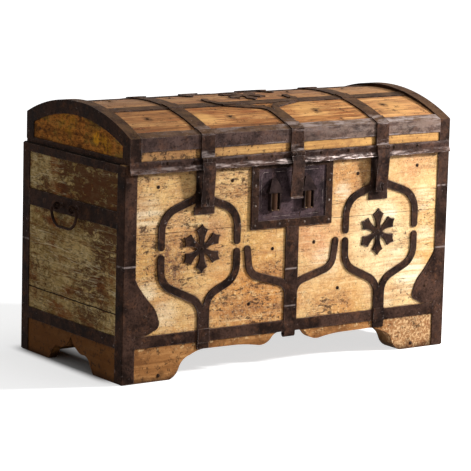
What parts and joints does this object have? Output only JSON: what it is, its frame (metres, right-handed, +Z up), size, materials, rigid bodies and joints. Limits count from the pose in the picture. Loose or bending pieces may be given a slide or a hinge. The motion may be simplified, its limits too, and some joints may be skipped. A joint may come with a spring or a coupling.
{
  "type": "iron-bound chest",
  "caption": "Iron-bound storage chest with a hinged barrel lid, tulip straps with stars, a towered lock, hasps, drop handles on the ends and scrolled bracket feet.",
  "frame": {"origin": "on the floor under the middle of the whole chest", "axes": "+X along the front to the right as seen from the front, +Y to the back, +Z up"},
  "size_m": [1.2584, 0.6197, 0.796],
  "materials": {
    "painted_front": "cream-yellow paint, worn, cracked and speckled with wormholes, matt",
    "painted_sides": "greenish beige paint flaked down to dark brown wood, matt",
    "stained_plinth": "orange-brown stained softwood, rubbed and scuffed",
    "bare_softwood": "bare aged softwood",
    "varnished_lid": "orange-brown lid boards with a long horizontal grain, thin old varnish",
    "wrought_iron": "forged iron, dark purplish brown, worn to silver on edges",
    "lock_iron": "forged iron plate, dark, with faint engraved lines",
    "lock_steel": "filed steel of the lock works, dull"
  },
  "bodies": {
    "body": {"front_board_lower": "painted_front", "front_board_upper": "painted_front", "back_board_lower": "painted_sides", "back_board_upper": "painted_sides", "left_board_lower": "painted_sides", "left_board_upper": "painted_sides", "right_board_lower": "painted_sides", "right_board_upper": "painted_sides", "floor_boards": "bare_softwood", "apron_front": "stained_plinth", "apron_back": "stained_plinth", "apron_left": "stained_plinth", "apron_right": "stained_plinth", "foot_blocks": "bare_softwood", "corner_iron_left": "wrought_iron", "corner_iron_right": "wrought_iron", "corner_irons_back": "wrought_iron", "base_bands": "wrought_iron", "end_bands": "wrought_iron", "tulip_upper_left": "wrought_iron", "tulip_upper_right": "wrought_iron", "tulip_lower_left": "wrought_iron", "tulip_lower_right": "wrought_iron", "tulip_centre": "wrought_iron", "star_left": "wrought_iron", "star_right": "wrought_iron", "lock_plate": "lock_iron", "lock_border": "lock_iron", "lock_towers": "lock_iron", "lock_case": "lock_steel", "hasp_staples": "wrought_iron", "handle_eyes": "wrought_iron", "hinge_leaves": "wrought_iron", "hinge_pins": "wrought_iron", "body_nails": "wrought_iron"},
    "lid": {"lid_front_rail": "varnished_lid", "lid_back_rail": "varnished_lid", "lid_end_left": "varnished_lid", "lid_end_right": "varnished_lid", "lid_staves": "varnished_lid", "lid_arch_iron_left": "wrought_iron", "lid_arch_iron_right": "wrought_iron", "lid_edge_iron_front": "wrought_iron", "lid_front_lip": "wrought_iron", "lid_back_irons": "wrought_iron", "lid_end_irons": "wrought_iron", "lid_strap_left": "wrought_iron", "lid_strap_centre": "wrought_iron", "lid_strap_right": "wrought_iron", "lid_cross_straps": "wrought_iron", "lid_star": "wrought_iron", "hasp_pins": "wrought_iron", "lid_nails": "wrought_iron"},
    "hasp_left_body": {"hasp_left": "wrought_iron"},
    "hasp_centre_body": {"hasp_centre": "wrought_iron"},
    "hasp_right_body": {"hasp_right": "wrought_iron"},
    "bail_left_body": {"bail_left": "wrought_iron"},
    "bail_right_body": {"bail_right": "wrought_iron"},
    "bolt": {"lock_bolt": "lock_steel"}
  },
  "joints": [
    {"name": "lid_hinge", "type": "hinge", "parent": "body", "child": "lid", "pos_m": [0, 0.3029, 0.643], "axis": [-1, 0, 0], "range_deg": [0, 105]},
    {"name": "hasp_left_hinge", "type": "hinge", "parent": "lid", "child": "hasp_left_body", "pos_m": [-0.321, -0.3017, 0.646], "axis": [-1, 0, 0], "range_deg": [-3.6, 150]},
    {"name": "hasp_centre_hinge", "type": "hinge", "parent": "lid", "child": "hasp_centre_body", "pos_m": [0, -0.3017, 0.646], "axis": [-1, 0, 0], "range_deg": [-4.2, 150]},
    {"name": "hasp_right_hinge", "type": "hinge", "parent": "lid", "child": "hasp_right_body", "pos_m": [0.321, -0.3017, 0.646], "axis": [-1, 0, 0], "range_deg": [-3.6, 150]},
    {"name": "bail_left_hinge", "type": "hinge", "parent": "body", "child": "bail_left_body", "pos_m": [-0.617, 0.0169, 0.48], "axis": [0, 1, 0], "range_deg": [-15, 190]},
    {"name": "bail_right_hinge", "type": "hinge", "parent": "body", "child": "bail_right_body", "pos_m": [0.617, 0.0169, 0.48], "axis": [0, -1, 0], "range_deg": [-15, 190]},
    {"name": "bolt_slide", "type": "slide", "parent": "body", "child": "bolt", "axis": [-1, 0, 0], "range_m": [0, 0.018]}
  ]
}
